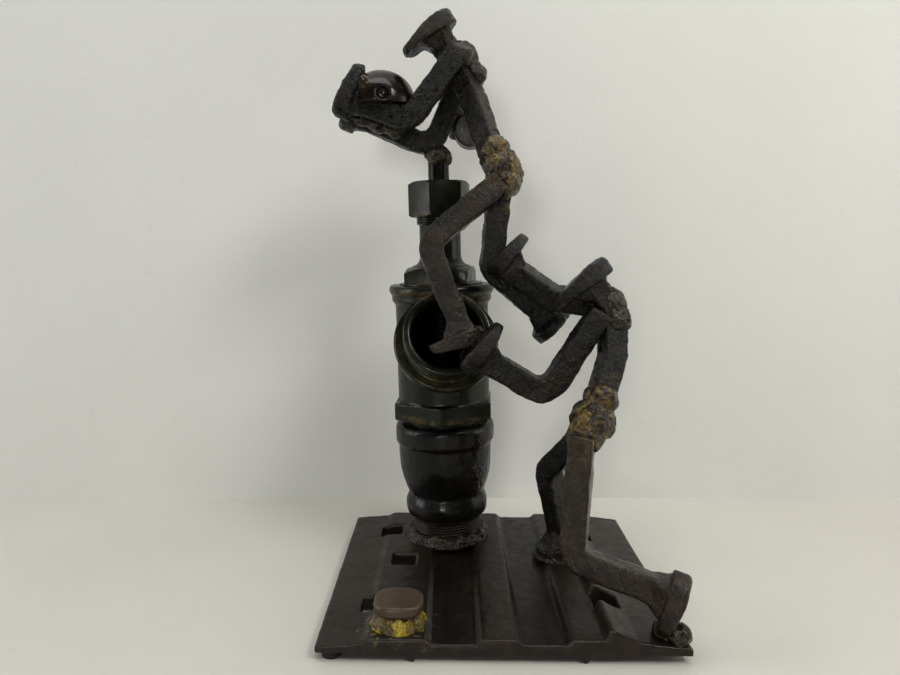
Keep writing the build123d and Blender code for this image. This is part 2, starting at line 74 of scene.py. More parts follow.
def cad_copy(node, name):
    """A welded copy of a CAD node's mesh as a new object."""
    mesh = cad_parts[node].data.copy()
    mesh.name = name
    mesh.materials.clear()
    bm = bmesh.new()
    bm.from_mesh(mesh)
    bmesh.ops.remove_doubles(bm, verts=bm.verts, dist=WELD_DISTANCE)
    bm.to_mesh(mesh)
    bm.free()
    piece = bpy.data.objects.new(name, mesh)
    scene.collection.objects.link(piece)
    return piece


def apply_modifiers(piece):
    """Turn a piece's modifiers into plain mesh."""
    bpy.context.view_layer.update()
    graph = bpy.context.evaluated_depsgraph_get()
    mesh = bpy.data.meshes.new_from_object(piece.evaluated_get(graph), depsgraph=graph)
    mesh.name = piece.name
    piece.modifiers.clear()
    piece.data = mesh
    return mesh


def rounded(node, name, voxel, smooth):
    """A remeshed copy with its edges rounded off."""
    piece = cad_copy(node, name)
    remesh = piece.modifiers.new("voxels", "REMESH")
    remesh.mode = "VOXEL"
    remesh.voxel_size = voxel * MM
    soften = piece.modifiers.new("soften", "SMOOTH")
    soften.factor = 0.5
    soften.iterations = smooth
    mesh = apply_modifiers(piece)
    mesh.shade_smooth()
    return piece


def roughen(piece, layers, swell=0.0, seed=0.0):
    """Push a mesh's points along their normals: layers are (feature size, height, kind), in mm."""
    mesh = piece.data
    count = len(mesh.vertices)
    points = np.empty(count * 3, np.float32)
    normals = np.empty(count * 3, np.float32)
    mesh.vertices.foreach_get("co", points)
    mesh.vertices.foreach_get("normal", normals)
    points = points.reshape(-1, 3)
    offset = np.array((seed * 1.7, seed * 0.9, seed * 2.3))
    push = np.full(count, swell)
    for size, height, kind in layers:
        places = (points / (size * MM) + offset).tolist()
        if kind == "hammer":
            cells = [noise.voronoi(place)[0] for place in places]
            push += height * np.array([cell[1] - cell[0] - 0.35 for cell in cells])
        elif kind == "pit":
            push -= height * 2 * np.clip(np.array([noise.noise(place) for place in places]) - 0.25, 0, None)
        else:
            push += height * np.array([noise.noise(place) for place in places])
    points += normals.reshape(-1, 3) * (push[:, None] * MM)
    points = np.clip(points, cad_box[0], cad_box[1])
    mesh.vertices.foreach_set("co", points.ravel())
    mesh.update()
    return piece


def machined(node, name, width):
    """A copy with its sharp edges finely bevelled."""
    piece = cad_copy(node, name)
    bm = bmesh.new()
    bm.from_mesh(piece.data)
    bmesh.ops.dissolve_limit(bm, angle_limit=math.radians(0.6), verts=bm.verts, edges=bm.edges)
    bm.to_mesh(piece.data)
    bm.free()
    bevel = piece.modifiers.new("bevel", "BEVEL")
    bevel.width = width * MM
    bevel.segments = 2
    bevel.limit_method = "ANGLE"
    bevel.angle_limit = math.radians(32)
    mesh = apply_modifiers(piece)
    mesh.shade_smooth()
    mesh.set_sharp_from_angle(angle=math.radians(28))
    return piece


MOUND_STEPS = 140
# A weld's section as (reach, lift): reach below 0 is in mm towards the middle, above 0 a share of the width.
MOUND_SECTION = ((-1.5, -0.12), (-1.5, 0.5), (-1.2, 0.9), (0.05, 1.0), (0.25, 0.97), (0.45, 0.85),
                 (0.62, 0.66), (0.78, 0.44), (0.9, 0.24), (1.0, 0.05), (1.0, -0.12))


def mound(name, centre, radii, width, height, seed):
    """Uneven ring of weld metal round something that stands on the plate; sizes in mm."""
    points = []
    for i in range(MOUND_STEPS):
        angle = 2 * math.pi * i / MOUND_STEPS
        outward = Vector((math.cos(angle), math.sin(angle), 0))
        spread = width * (1 + 0.42 * noise.noise(outward * 3.1 + Vector((seed, 0, 0))))
        rise = height * (1 + 0.40 * noise.noise(outward * 4.3 + Vector((0, seed, 3))))
        for reach, lift in MOUND_SECTION:
            out = reach if reach < 0 else reach * spread
            x = centre[0] + (radii[0] + out) * outward.x
            y = centre[1] + (radii[1] + out) * outward.y
            points.append((x * MM, y * MM, (centre[2] + lift * rise) * MM))
    count = len(MOUND_SECTION)
    faces = []
    for i in range(MOUND_STEPS):
        here, there = i * count, (i + 1) % MOUND_STEPS * count
        for j in range(count):
            k = (j + 1) % count
            faces.append((here + j, there + j, there + k, here + k))
    mesh = bpy.data.meshes.new(name)
    mesh.from_pydata(points, [], faces)
    piece = bpy.data.objects.new(name, mesh)
    scene.collection.objects.link(piece)
    divide = piece.modifiers.new("divide", "SUBSURF")
    divide.levels = 2
    apply_modifiers(piece).shade_smooth()
    return roughen(piece, ((5.5, 1.0, "wave"), (3.0, 0.6, "hammer"), (1.8, 0.3, "wave")), 0.0, seed)


def place(piece, node, slot, material, body=BASE):
    """Dress a piece, let it ride on its body and stand for its CAD node."""
    piece.data.materials.clear()
    piece.data.materials.append(material)
    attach(piece, body)
    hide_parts(node)


# ---------------------------------------------------------------- materials

class Finish:
    """A principled material and short calls for the nodes that feed it."""

    def __init__(self, name, metallic, coat=0.0, coat_roughness=0.1, specular=0.5):
        self.material = bpy.data.materials.new(name)
        self.material.use_nodes = True
        self.tree = self.material.node_tree
        self.tree.nodes.clear()
        self.bsdf = self.tree.nodes.new("ShaderNodeBsdfPrincipled")
        output = self.tree.nodes.new("ShaderNodeOutputMaterial")
        self.tree.links.new(self.bsdf.outputs[0], output.inputs["Surface"])
        self.bsdf.inputs["Metallic"].default_value = metallic
        self.bsdf.inputs["Coat Weight"].default_value = coat
        self.bsdf.inputs["Coat Roughness"].default_value = coat_roughness
        self.bsdf.inputs["Specular IOR Level"].default_value = specular
        self.here = self.tree.nodes.new("ShaderNodeTexCoord").outputs["Object"]

    def feed(self, socket, value):
        if isinstance(value, bpy.types.NodeSocket):
            self.tree.links.new(value, socket)
        else:
            socket.default_value = value

    def math(self, operation, a, b=0.0, clamp=False):
        node = self.tree.nodes.new("ShaderNodeMath")
        node.operation = operation
        node.use_clamp = clamp
        self.feed(node.inputs[0], a)
        self.feed(node.inputs[1], b)
        return node.outputs[0]

    def noise(self, size, detail=4.0, roughness=0.55, distortion=0.0, stretch=(1, 1, 1)):
        """Noise between 0 and 1 with features of this size in mm."""
        mapping = self.tree.nodes.new("ShaderNodeMapping")
        mapping.inputs["Scale"].default_value = stretch
        self.feed(mapping.inputs["Vector"], self.here)
        node = self.tree.nodes.new("ShaderNodeTexNoise")
        node.inputs["Scale"].default_value = 1000 / size
        node.inputs["Detail"].default_value = detail
        node.inputs["Roughness"].default_value = roughness
        node.inputs["Distortion"].default_value = distortion
        self.feed(node.inputs["Vector"], mapping.outputs[0])
        return node.outputs["Fac"]

    def cells(self, size, feature="F1"):
        node = self.tree.nodes.new("ShaderNodeTexVoronoi")
        node.feature = feature
        node.inputs["Scale"].default_value = 1000 / size
        self.feed(node.inputs["Vector"], self.here)
        return node.outputs["Distance"]

    def step(self, value, low, high, out_low=0.0, out_high=1.0):
        """Smooth step of a value from one level to another."""
        node = self.tree.nodes.new("ShaderNodeMapRange")
        node.interpolation_type = "SMOOTHSTEP"
        self.feed(node.inputs["Value"], value)
        node.inputs["From Min"].default_value = low
        node.inputs["From Max"].default_value = high
        node.inputs["To Min"].default_value = out_low
        node.inputs["To Max"].default_value = out_high
        return node.outputs[0]

    def mix(self, factor, a, b):
        node = self.tree.nodes.new("ShaderNodeMix")
        node.data_type = "RGBA"
        self.feed(node.inputs[0], factor)
        self.feed(node.inputs[6], a if isinstance(a, bpy.types.NodeSocket) else (*a, 1))
        self.feed(node.inputs[7], b if isinstance(b, bpy.types.NodeSocket) else (*b, 1))
        return node.outputs[2]

    def axis(self, index):
        node = self.tree.nodes.new("ShaderNodeSeparateXYZ")
        self.feed(node.inputs[0], self.here)
        return node.outputs[index]

    def near(self, centre, radius, soft=0.5):
        """1 near a point, fading to 0 at this radius in mm."""
        node = self.tree.nodes.new("ShaderNodeVectorMath")
        node.operation = "DISTANCE"
        self.feed(node.inputs[0], self.here)
        node.inputs[1].default_value = [value * MM for value in centre]
        return self.step(node.outputs["Value"], radius * MM * soft, radius * MM, 1.0, 0.0)

    def band(self, low, high, soft, index=2):
        """1 between two positions along an axis in mm, with soft ends."""
        rise = self.step(self.axis(index), (low - soft) * MM, low * MM)
        fall = self.step(self.axis(index), high * MM, (high + soft) * MM, 1.0, 0.0)
        return self.math("MULTIPLY", rise, fall)

    def edges(self, low=0.52, high=0.6):
        """1 on convex edges."""
        node = self.tree.nodes.new("ShaderNodeNewGeometry")
        return self.step(node.outputs["Pointiness"], low, high)

    def creases(self, low=0.42, high=0.49):
        """1 in concave corners; the materials use it to paint shade there."""
        node = self.tree.nodes.new("ShaderNodeNewGeometry")
        return self.step(node.outputs["Pointiness"], low, high, 1.0, 0.0)

    def bump(self, *layers):
        """Stack of (height socket, distance in mm)."""
        normal = None
        for height, distance in layers:
            node = self.tree.nodes.new("ShaderNodeBump")
            node.inputs["Strength"].default_value = 1.0
            node.inputs["Distance"].default_value = distance * MM
            self.feed(node.inputs["Height"], height)
            if normal:
                self.feed(node.inputs["Normal"], normal)
            normal = node.outputs[0]
        self.feed(self.bsdf.inputs["Normal"], normal)
        self.feed(self.bsdf.inputs["Coat Normal"], normal)

    def finish(self, color, roughness):
        self.feed(self.bsdf.inputs["Base Color"], color)
        self.feed(self.bsdf.inputs["Roughness"], roughness)
        return self.material


BRASS_TINT = (0.12, 0.080, 0.022)


def forged(name, brown=0.5, grit=1.0, gold=()):
    """Forged spike steel under lacquer: black-grey with brown faces, pits, scale and worn edges, with
    painted shade darkening its concave corners.
    """
    f = Finish(name, metallic=0.15, coat=0.6, coat_roughness=0.09, specular=0.2)
    patches = f.noise(26, 3, 0.5, 0.6)
    color = f.mix(f.step(patches, 0.64 - brown * 0.3, 0.84 - brown * 0.3),
                  (0.0042, 0.0038, 0.0030), (0.024, 0.0130, 0.0060))
    rust = f.step(f.noise(9, 5, 0.6, 0.8), 0.60, 0.72)
    color = f.mix(f.math("MULTIPLY", rust, 0.3 + brown * 0.4), color, (0.045, 0.021, 0.009))
    flecks = f.step(f.noise(4, 4, 0.6), 0.70, 0.76)
    color = f.mix(f.math("MULTIPLY", flecks, brown * 0.6), color, (0.12, 0.05, 0.012))
    scale = f.step(f.noise(2.2, 4, 0.7), 0.56, 0.70)
    color = f.mix(f.math("MULTIPLY", scale, 0.30 + 0.15 * grit), color, (0.045, 0.043, 0.038))
    color = f.mix(f.math("MULTIPLY", f.edges(), 0.5), color, (0.075, 0.065, 0.052))
    # painted shade: concave corners and creases darkened to near-black
    color = f.mix(f.math("MULTIPLY", f.creases(), 0.85), color, (0.0025, 0.002, 0.0018))
    for centre, radius in gold:
        spill = f.math("MULTIPLY", f.near(centre, radius), f.step(f.noise(6, 5, 0.65, 1.0), 0.46, 0.66))
        color = f.mix(f.math("MULTIPLY", spill, 0.6), color, BRASS_TINT)
    gloss = f.step(f.noise(6, 4, 0.6), 0.3, 0.7, 0.20, 0.44)
    pits = f.step(f.cells(3.0), 0.0, 0.4)
    f.bump((f.noise(5.5, 4, 0.6), 1.2 * grit), (f.noise(1.6, 3, 0.6), 1.5 * grit), (pits, 0.45 * grit))
    return f.finish(color, gloss)


def brazed(name, gold_share=0.5, bright=(0.27, 0.180, 0.044), dark=(0.018, 0.012, 0.006),
           grey=(0.060, 0.054, 0.040)):
    """Braze metal: yellow patches on brown-black lumps with grey, glossy crests, and painted shade in its
    creases.
    """
    f = Finish(name, metallic=0.15, coat=0.35, coat_roughness=0.12, specular=0.35)
    patches = f.noise(8.5, 5, 0.65, 1.2)
    color = f.mix(f.step(patches, 0.60 - gold_share * 0.24, 0.86 - gold_share * 0.24), dark, bright)
    mottle = f.step(f.noise(2.6, 4, 0.65), 0.40, 0.62)
    color = f.mix(f.math("MULTIPLY", mottle, 0.45), color, dark)
    color = f.mix(f.math("MULTIPLY", f.step(f.noise(5, 4, 0.6), 0.56, 0.66), 0.8), color, grey)
    # painted shade: creases between the lumps darkened
    color = f.mix(f.math("MULTIPLY", f.creases(0.40, 0.48), 0.9), color, (0.010, 0.007, 0.004))
    gloss = f.step(f.noise(4, 3, 0.6), 0.3, 0.7, 0.18, 0.42)
    f.bump((f.noise(4.0, 4, 0.6, 0.5), 1.0), (f.noise(1.2, 3, 0.6), 0.26))
    return f.finish(color, gloss)


def rolled(name):
    """The tie plate: brown-grey satin, redder and streaked in its channels, worn along its edges."""
    f = Finish(name, metallic=0.1, coat=0.3, coat_roughness=0.22, specular=0.35)
    color = f.mix(f.step(f.noise(45, 4, 0.6), 0.35, 0.65), (0.0145, 0.0118, 0.0078), (0.026, 0.0195, 0.0120))
    streaks = f.noise(5, 4, 0.6, 0.2, stretch=(1, 0.06, 1))
    channel = f.math("MAXIMUM", f.band(-43, -14, 2, 0), f.band(11, 39, 2, 0))
    low = f.step(f.axis(2), 12.2 * MM, 13.4 * MM, 1.0, 0.0)
    channel = f.math("MULTIPLY", channel, low)
    deep = f.mix(f.step(streaks, 0.35, 0.68), (0.0045, 0.003, 0.0018), (0.017, 0.009, 0.005))
    color = f.mix(f.math("MULTIPLY", channel, 0.85), color, deep)
    color = f.mix(f.math("MULTIPLY", f.step(streaks, 0.55, 0.75), 0.35), color, (0.020, 0.013, 0.008))
    rust = f.step(f.noise(14, 5, 0.65, 0.8), 0.60, 0.72)
    color = f.mix(f.math("MULTIPLY", rust, 0.5), color, (0.024, 0.013, 0.007))
    front = f.step(f.axis(1), -94.3 * MM, -93.4 * MM, 1.0, 0.0)
    ends = f.mix(f.step(f.noise(8, 4, 0.6), 0.4, 0.65), (0.015, 0.011, 0.008), (0.034, 0.020, 0.013))
    color = f.mix(f.math("MULTIPLY", front, 0.85), color, ends)
    specks = f.step(f.noise(1.6, 2, 0.5), 0.72, 0.78)
    color = f.mix(f.math("MULTIPLY", specks, 0.5), color, (0.07, 0.06, 0.04))
    color = f.mix(f.math("MULTIPLY", f.edges(0.53, 0.62), 0.6), color, (0.085, 0.070, 0.050))
    splash = f.math("MULTIPLY", f.near((-62, -76, 14), 34, 0.55), f.step(f.noise(4, 3, 0.6), 0.60, 0.66))
    color = f.mix(f.math("MULTIPLY", splash, 0.7), color, (0.22, 0.17, 0.07))
    gloss = f.step(f.noise(11, 5, 0.65), 0.3, 0.7, 0.30, 0.50)
    f.bump((f.noise(17, 4, 0.6), 0.22), (f.noise(3.0, 4, 0.65), 0.20), (f.noise(0.9, 2, 0.5), 0.07))
    return f.finish(color, gloss)


def bronze(name, wear=()):
    """Dark olive bronze with a satin lacquer; wear lists bands and spots of brassy rubbing. Concave corners
    get painted shade.
    """
    f = Finish(name, metallic=0.15, coat=0.2, coat_roughness=0.12, specular=0.32)
    olive = f.step(f.noise(34, 4, 0.55, 0.4), 0.35, 0.66)
    color = f.mix(olive, (0.0065, 0.0066, 0.0042), (0.0145, 0.0160, 0.0070))
    brown = f.step(f.noise(19, 4, 0.6, 0.7), 0.56, 0.70)
    color = f.mix(f.math("MULTIPLY", brown, 0.6), color, (0.019, 0.0135, 0.006))
    for mask, strength in wear_masks(f, wear):
        rubbed = f.math("MULTIPLY", mask, f.step(f.noise(9, 4, 0.65, 0.8), 0.40, 0.62))
        color = f.mix(f.math("MULTIPLY", rubbed, strength), color, (0.10, 0.072, 0.020))
    color = f.mix(f.math("MULTIPLY", f.edges(0.53, 0.60), 0.4), color, (0.060, 0.056, 0.032))
    # painted shade: concave corners darkened
    color = f.mix(f.math("MULTIPLY", f.creases(0.40, 0.48), 0.7), color, (0.003, 0.003, 0.002))
    green = f.math("MULTIPLY", f.near((-62, 2, 158), 30), f.step(f.noise(12, 4, 0.6, 0.6), 0.42, 0.64))
    color = f.mix(f.math("MULTIPLY", green, 0.55), color, (0.012, 0.026, 0.011))
    gloss = f.step(f.noise(7, 4, 0.6), 0.3, 0.7, 0.26, 0.42)
    f.bump((f.noise(13, 3, 0.5), 0.25), (f.noise(1.8, 3, 0.6), 0.05))
    return f.finish(color, gloss)


def wear_masks(f, wear):
    """Masks of a bronze piece's rubbed places, each with its strength: bands in height, or spots, in mm."""
    for kind, a, b, strength in wear:
        yield (f.band(a, b, 2.0) if kind == "band" else f.near(a, b)), strength


def cast_black(name):
    """Black glossy cast iron, rougher in one patch on its right."""
    f = Finish(name, metallic=0.0, coat=0.2, coat_roughness=0.10, specular=0.3)
    color = f.mix(f.step(f.noise(30, 4, 0.6), 0.4, 0.7), (0.0035, 0.0035, 0.0034), (0.0085, 0.0075, 0.0055))
    stains = f.step(f.noise(8, 5, 0.65), 0.60, 0.72)
    color = f.mix(f.math("MULTIPLY", stains, 0.6), color, (0.018, 0.0135, 0.0075))
    color = f.mix(f.math("MULTIPLY", f.edges(0.53, 0.6), 0.3), color, (0.035, 0.030, 0.022))
    lumpy = f.near((-5, 24, 66), 24, 0.4)
    lumps = f.math("MULTIPLY", lumpy, f.noise(6.5, 3, 0.6, 1.0))
    f.bump((lumps, 2.4), (f.noise(15, 3, 0.5), 0.6), (f.noise(2.4, 4, 0.6), 0.16))
    return f.finish(color, f.step(f.noise(10, 4, 0.6), 0.3, 0.7, 0.24, 0.42))


def threaded(name):
    """Brown pipe thread, with painted shade darkening its grooves."""
    f = Finish(name, metallic=0.5, coat=0.3, coat_roughness=0.2)
    color = f.mix(f.step(f.noise(12, 4, 0.6, 0.6), 0.35, 0.65), (0.014, 0.009, 0.006), (0.040, 0.029, 0.020))
    color = f.mix(f.math("MULTIPLY", f.edges(0.52, 0.58), 0.6), color, (0.09, 0.074, 0.056))
    # painted shade: thread grooves darkened
    color = f.mix(f.math("MULTIPLY", f.creases(), 0.9), color, (0.008, 0.006, 0.004))
    f.bump((f.noise(3, 4, 0.6), 0.25), (f.noise(0.9, 3, 0.6), 0.06))
    return f.finish(color, f.step(f.noise(5, 4, 0.6), 0.3, 0.7, 0.30, 0.52))


def satin_brown(name):
    """The spike head on the plate: ground smooth, even warm brown."""
    f = Finish(name, metallic=0.15, coat=0.35, coat_roughness=0.25)
    color = f.mix(f.step(f.noise(14, 4, 0.6), 0.35, 0.65), (0.066, 0.043, 0.024), (0.090, 0.060, 0.036))
    specks = f.step(f.noise(1.2, 2, 0.5), 0.62, 0.70)
    color = f.mix(f.math("MULTIPLY", specks, 0.35), color, (0.040, 0.027, 0.018))
    color = f.mix(f.math("MULTIPLY", f.edges(0.53, 0.62), 0.5), color, (0.14, 0.115, 0.09))
    f.bump((f.noise(7, 3, 0.5), 0.12), (f.noise(0.8, 2, 0.5), 0.03))
    return f.finish(color, f.step(f.noise(5, 3, 0.5), 0.3, 0.7, 0.42, 0.52))


def brown_gloss(name):
    """The dome in the hands: smooth, glossy, red-brown with golden-brown clouds and a painted highlight in
    light grey along its convex edges.
    """
    f = Finish(name, metallic=0.1, coat=0.3, coat_roughness=0.12, specular=0.3)
    clouds = f.noise(15, 4, 0.6, 1.2)
    color = f.mix(f.step(clouds, 0.38, 0.62), (0.0055, 0.0024, 0.0010), (0.022, 0.0100, 0.0038))
    color = f.mix(f.math("MULTIPLY", f.near((-95, 20, 350), 13), 0.6), color, (0.055, 0.034, 0.012))
    color = f.mix(f.math("MULTIPLY", f.near((-79, 16, 343), 9, 0.3), 0.8), color, (0.012, 0.011, 0.007))
    # painted highlight: light grey on convex edges, standing in for the room's reflection at the rim
    color = f.mix(f.math("MULTIPLY", f.edges(0.53, 0.6), 0.5), color, (0.20, 0.18, 0.14))
    f.bump((f.noise(9, 3, 0.5), 0.5), (f.noise(2, 3, 0.5), 0.06))
    return f.finish(color, f.step(f.noise(7, 3, 0.5), 0.3, 0.7, 0.18, 0.32))


def sawn(name, centre):
    """Sawn steel end with faint rings round its middle, greyer than the rest."""
    f = Finish(name, metallic=0.4, coat=0.3, coat_roughness=0.2)
    node = f.tree.nodes.new("ShaderNodeVectorMath")
    node.operation = "DISTANCE"
    f.feed(node.inputs[0], f.here)
    node.inputs[1].default_value = [value * MM for value in centre]
    radius = f.math("ADD", node.outputs["Value"], f.math("MULTIPLY", f.noise(9, 4, 0.6), 0.006))
    rings = f.math("SINE", f.math("MULTIPLY", radius, 3300.0))
    color = f.mix(f.step(rings, -1.0, 1.0), (0.034, 0.031, 0.027), (0.058, 0.055, 0.050))
    color = f.mix(f.math("MULTIPLY", f.step(f.noise(7, 4, 0.6), 0.5, 0.7), 0.6), color, (0.035, 0.028, 0.02))
    f.bump((rings, 0.08), (f.noise(3, 3, 0.6), 0.2))
    return f.finish(color, f.step(f.noise(5, 3, 0.5), 0.3, 0.7, 0.35, 0.55))


def turned(name, low, high, shine=(0.16, 0.30)):
    """Turned bar: fine rings left by the tool, with darker clouds, and near-black painted shade below 225
    mm, inside the valve's bore, where it is also rougher.
    """
    f = Finish(name, metallic=0.7, coat=0.1, coat_roughness=0.3)
    color = f.mix(f.step(f.noise(12, 4, 0.6, 0.5), 0.35, 0.68), low, high)
    lines = f.noise(1.1, 2, 0.5, 0.0, stretch=(0.05, 0.05, 1))
    f.bump((lines, 0.05), (f.noise(6, 3, 0.5), 0.10))
    # painted shade: near-black below 225 mm inside the valve's bore, fading out by 240 mm; roughness rises
    # there too
    bore_shade = f.step(f.axis(2), 225 * MM, 240 * MM, 1.0, 0.0)
    color = f.mix(bore_shade, color, (0.003, 0.003, 0.003))
    return f.finish(color, f.math("ADD", f.step(lines, 0.3, 0.7, *shine), f.math("MULTIPLY", bore_shade, 0.45)))


def rubber(name):
    f = Finish(name, metallic=0.0)
    color = f.mix(f.noise(6, 4, 0.6), (0.010, 0.010, 0.010), (0.035, 0.033, 0.030))
    f.bump((f.noise(1.5, 3, 0.6), 0.12))
    return f.finish(color, f.step(f.noise(3, 3, 0.5), 0.3, 0.7, 0.60, 0.82))


def braided(name):
    """Graphited square-braid packing."""
    f = Finish(name, metallic=0.0)
    weave = f.math("MULTIPLY", f.math("SINE", f.math("MULTIPLY", f.axis(0), 3400.0)),
                   f.math("SINE", f.math("MULTIPLY", f.axis(2), 3400.0)))
    color = f.mix(f.step(weave, -0.5, 0.6), (0.012, 0.012, 0.012), (0.07, 0.07, 0.068))
    f.bump((weave, 0.25), (f.noise(1.0, 3, 0.6), 0.1))
    return f.finish(color, f.step(f.noise(3, 3, 0.5), 0.3, 0.7, 0.55, 0.8))


# ---------------------------------------------------------------- pieces

SPIKE_STYLE = {
    "upper_torso": dict(brown=0.75, grit=1.1, gold=(((-6, 30, 318), 18), ((-20, 42, 366), 9))),
    "upper_near_arm": dict(brown=0.25, grit=1.5, gold=(((-30, 26, 372), 8),)),
    "upper_far_arm": dict(brown=0.25, grit=1.2),
    "upper_near_leg": dict(brown=0.9, grit=0.6, gold=(((-8, -2, 284), 13),)),
    "upper_far_leg": dict(brown=0.2, grit=0.7, gold=(((1, 18, 266), 12),)),
    "lower_torso": dict(brown=0.45, grit=1.0, gold=(((68, -34, 150), 16), ((72, -16, 200), 12))),
    "lower_near_arm": dict(brown=0.55, grit=0.8),
    "lower_far_arm": dict(brown=0.35, grit=0.7),
    "lower_near_leg": dict(brown=1.15, grit=0.45, gold=(((50, -52, 116), 18),)),
    "lower_far_leg": dict(brown=0.5, grit=0.5),
}

for index, (node, style) in enumerate(SPIKE_STYLE.items()):
    piece = rounded(node, node + "_forged", 0.85, 14)
    grit = style["grit"]
    layers = ((12, 0.9, "wave"), (5.5, 0.5 * grit, "hammer"), (2.4, 0.28 * grit, "wave"),
              (4.0, 0.6 * grit, "pit"))
    roughen(piece, layers, 0.4, 1 + index)
    place(piece, node, "forged_steel", forged("forged_" + node, **style))

brazes = {
    "upper_shoulder_braze": dict(gold_share=0.35),
    "upper_hip_braze": dict(gold_share=0.78),
    "upper_hand_braze": dict(gold_share=0.2),
    "stub_braze": dict(gold_share=0.2),
    "lower_shoulder_braze": dict(gold_share=0.3, grey=(0.09, 0.082, 0.06)),
    "lower_hip_braze": dict(gold_share=0.62),
    "outlet_braze": dict(gold_share=0.25),
    "grip_braze": dict(gold_share=0.25),
    "near_foot_braze": dict(gold_share=0.35, grey=(0.07, 0.06, 0.035)),
    "far_foot_braze": dict(gold_share=0.15),
    "button_braze": dict(gold_share=0.72, bright=(0.46, 0.36, 0.02), dark=(0.085, 0.06, 0.022),
                         grey=(0.13, 0.095, 0.05)),
    "nipple_weld": dict(gold_share=0.6, bright=(0.060, 0.042, 0.020), dark=(0.016, 0.011, 0.007),
                        grey=(0.070, 0.058, 0.038)),
    "stem_braze": dict(gold_share=0.35),
}
mounds = {
    "nipple_weld": ((-32.9, 55.6, 13.7), (26.6, 26.6), 6.5, 7.0),
    "far_foot_braze": ((49.0, 17.6, 13.7), (13.5, 12.0), 4.6, 3.6),
    "button_braze": ((-61.8, -75.4, 13.8), (10.6, 10.0), 6.4, 8.3),
}
for index, (node, style) in enumerate(brazes.items()):
    if node in mounds:
        piece = mound(node + "_mound", *mounds[node], 20 + index)
    else:
        piece = rounded(node, node + "_lump", 0.7, 14)
        roughen(piece, ((6.5, 1.7, "wave"), (2.4, 0.6, "wave"), (3.2, 0.5, "pit")), 0.7, 20 + index)
    slot = "weld_metal" if node == "nipple_weld" else "braze_metal"
    place(piece, node, slot, brazed("braze_" + node, **style))

plate = rounded("tie_plate", "tie_plate_rolled", 1.1, 3)
roughen(plate, ((30, 0.25, "wave"), (7, 0.14, "wave"), (3, 0.08, "wave")), 0.1, 3)
place(plate, "tie_plate", "plate_steel", rolled("rolled_plate"))

reducer = rounded("reducer_coupling", "reducer_cast", 0.9, 5)
roughen(reducer, ((18, 0.5, "wave"), (5, 0.2, "wave")), 0.15, 5)
place(reducer, "reducer_coupling", "black_iron", cast_black("cast_black"))

body_wear = (("band", 203, 207, 0.9), ("band", 110, 114, 0.8), ("spot", (-66, 8, 165), 26, 0.5),
             ("spot", (-12, 10, 150), 22, 0.4), ("spot", (-38, 5, 152), 20, 0.7))
valve = rounded("valve_body", "valve_body_cast", 0.75, 3)
roughen(valve, ((22, 0.15, "wave"),), 0.1, 7)
place(valve, "valve_body", "dark_bronze", bronze("bronze_body", body_wear))

bonnet = machined("bonnet", "bonnet_turned", 0.7)
place(bonnet, "bonnet", "dark_bronze", bronze("bronze_bonnet", (("band", 209, 212, 0.5),)))
nut = machined("packing_nut", "packing_nut_hex", 0.7)
place(nut, "packing_nut", "dark_bronze", bronze("bronze_nut", (("band", 260, 264, 0.5),)), NUT)

nipple = machined("pipe_nipple", "pipe_nipple_threaded", 0.2)
place(nipple, "pipe_nipple", "nipple_steel", threaded("pipe_thread"))
stem = machined("stem", "stem_turned", 0.3)
place(stem, "stem", "stem_bronze", turned("dark_stem", (0.004, 0.004, 0.003), (0.016, 0.014, 0.010)))

button = rounded("polished_spike", "polished_spike_ground", 0.6, 4)
place(button, "polished_spike", "polished_steel", satin_brown("ground_brown"))
dome = rounded("held_dome", "held_dome_smooth", 0.7, 12)
roughen(dome, ((14, 0.5, "wave"),), 0.1, 9)
place(dome, "held_dome", "brown_iron", brown_gloss("dome_brown"))
stub = rounded("back_stub", "back_stub_sawn", 0.6, 3)
place(stub, "back_stub", "sawn_steel", sawn("sawn_end", (-18.2, 60.1, 326.5)))

packing = cad_copy("gland_packing", "gland_packing_braid")
place(packing, "gland_packing", "packing", braided("graphite_braid"))
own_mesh(packing)

plain = {
    "plate_feet": rubber("rubber_pads"),
    "seat_disc": rubber("rubber_disc"),
    "seat_ring": turned("seat_bronze", (0.05, 0.034, 0.014), (0.12, 0.085, 0.035)),
    "disc_holder": turned("holder_bronze", (0.020, 0.014, 0.007), (0.050, 0.035, 0.016)),
    "disc_nut": turned("disc_nut_bronze", (0.05, 0.034, 0.014), (0.12, 0.085, 0.035)),
    "gland_follower": turned("gland_bronze", (0.20, 0.13, 0.05), (0.40, 0.27, 0.11)),
}
for node, material in plain.items():
    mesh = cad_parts[node].data
    mesh.materials.clear()
    mesh.materials.append(material)


# ---------------------------------------------------------------- stage, light and camera

def painted(name, color, patch, roughness):
    f = Finish(name, metallic=0.0)
    tone = f.mix(f.step(f.noise(260, 4, 0.5), 0.3, 0.7), color, patch)
    marks = f.step(f.noise(9, 4, 0.6), 0.66, 0.74)
    tone = f.mix(f.math("MULTIPLY", marks, 0.25), tone, [value * 0.8 for value in patch])
    f.bump((f.noise(30, 3, 0.5), 0.25))
    return f.finish(tone, roughness)


def sheet(name, corners, material):
    mesh = bpy.data.meshes.new(name)
    mesh.from_pydata(corners, [], [(0, 1, 2, 3)])
    mesh.materials.append(material)
    obj = bpy.data.objects.new(name, mesh)
    scene.collection.objects.link(obj)
    return obj


def one_sided(material):
    """Let a backdrop's back be seen through, so that it doesn't hide the object from behind."""
    tree = material.node_tree
    output = next(node for node in tree.nodes if node.type == "OUTPUT_MATERIAL")
    surface = output.inputs["Surface"].links[0].from_socket
    choose = tree.nodes.new("ShaderNodeMixShader")
    tree.links.new(tree.nodes.new("ShaderNodeNewGeometry").outputs["Backfacing"], choose.inputs[0])
    tree.links.new(surface, choose.inputs[1])
    tree.links.new(tree.nodes.new("ShaderNodeBsdfTransparent").outputs[0], choose.inputs[2])
    tree.links.new(choose.outputs[0], output.inputs["Surface"])


